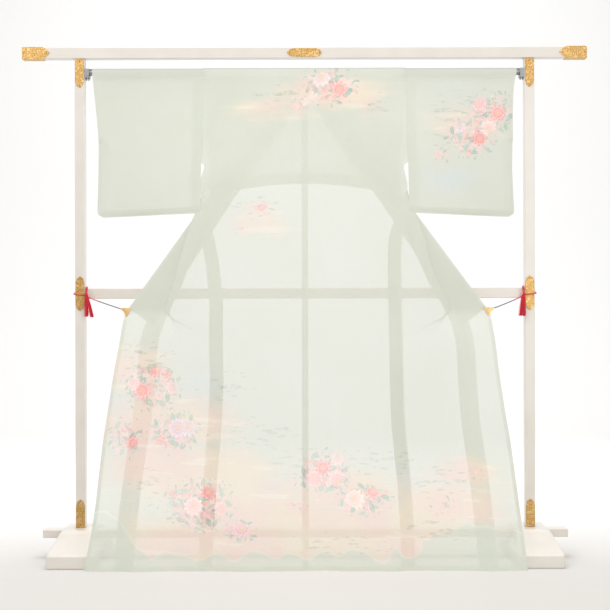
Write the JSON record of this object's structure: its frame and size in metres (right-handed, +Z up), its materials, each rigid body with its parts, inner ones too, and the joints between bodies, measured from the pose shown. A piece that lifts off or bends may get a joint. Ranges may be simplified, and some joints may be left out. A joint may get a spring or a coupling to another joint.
{
  "type": "kimono on a kimono rack",
  "caption": "Sheer pale green summer kimono spread back side out on a white lacquered rack with gold fittings, its fronts opened and clipped to the posts.",
  "frame": {"origin": "on the floor, under the middle of the whole part's box", "axes": "+Z up, +X along the rack to the right of a viewer who faces the kimono's back, +Y away from that viewer"},
  "size_m": [1.8208, 0.4431, 1.6454],
  "materials": {
    "silk": "matte, sheer",
    "lacquer": "satin lacquer",
    "gold": "polished",
    "rod_metal": "brushed",
    "red_cord": "silky"
  },
  "bodies": {
    "root": {"back_left": "silk", "back_right": "silk", "front_left": "silk", "front_right": "silk", "okumi_left": "silk", "okumi_right": "silk", "collar_left": "silk", "collar_right": "silk", "sleeve_left": "silk", "sleeve_right": "silk", "shoulder_lining": "silk", "top_rail": "lacquer", "middle_rail": "lacquer", "base_beam": "lacquer", "post_left": "lacquer", "post_right": "lacquer", "foot_left": "lacquer", "foot_right": "lacquer", "hanging_rod": "rod_metal", "rod_bracket_left": "rod_metal", "rod_bracket_right": "rod_metal", "gold_rail_centre_front": "gold", "gold_rail_centre_back": "gold", "gold_rail_end_left": "gold", "gold_rail_end_right": "gold", "gold_top_front_left": "gold", "gold_top_back_left": "gold", "gold_top_front_right": "gold", "gold_top_back_right": "gold", "gold_middle_front_left": "gold", "gold_middle_back_left": "gold", "gold_middle_front_right": "gold", "gold_middle_back_right": "gold", "gold_bottom_front_left": "gold", "gold_bottom_back_left": "gold", "gold_bottom_front_right": "gold", "gold_bottom_back_right": "gold", "clip_left": "gold", "clip_right": "gold", "cord_left": "red_cord", "cord_right": "red_cord", "tassel_left": "red_cord", "tassel_right": "red_cord"}
  },
  "joints": []
}
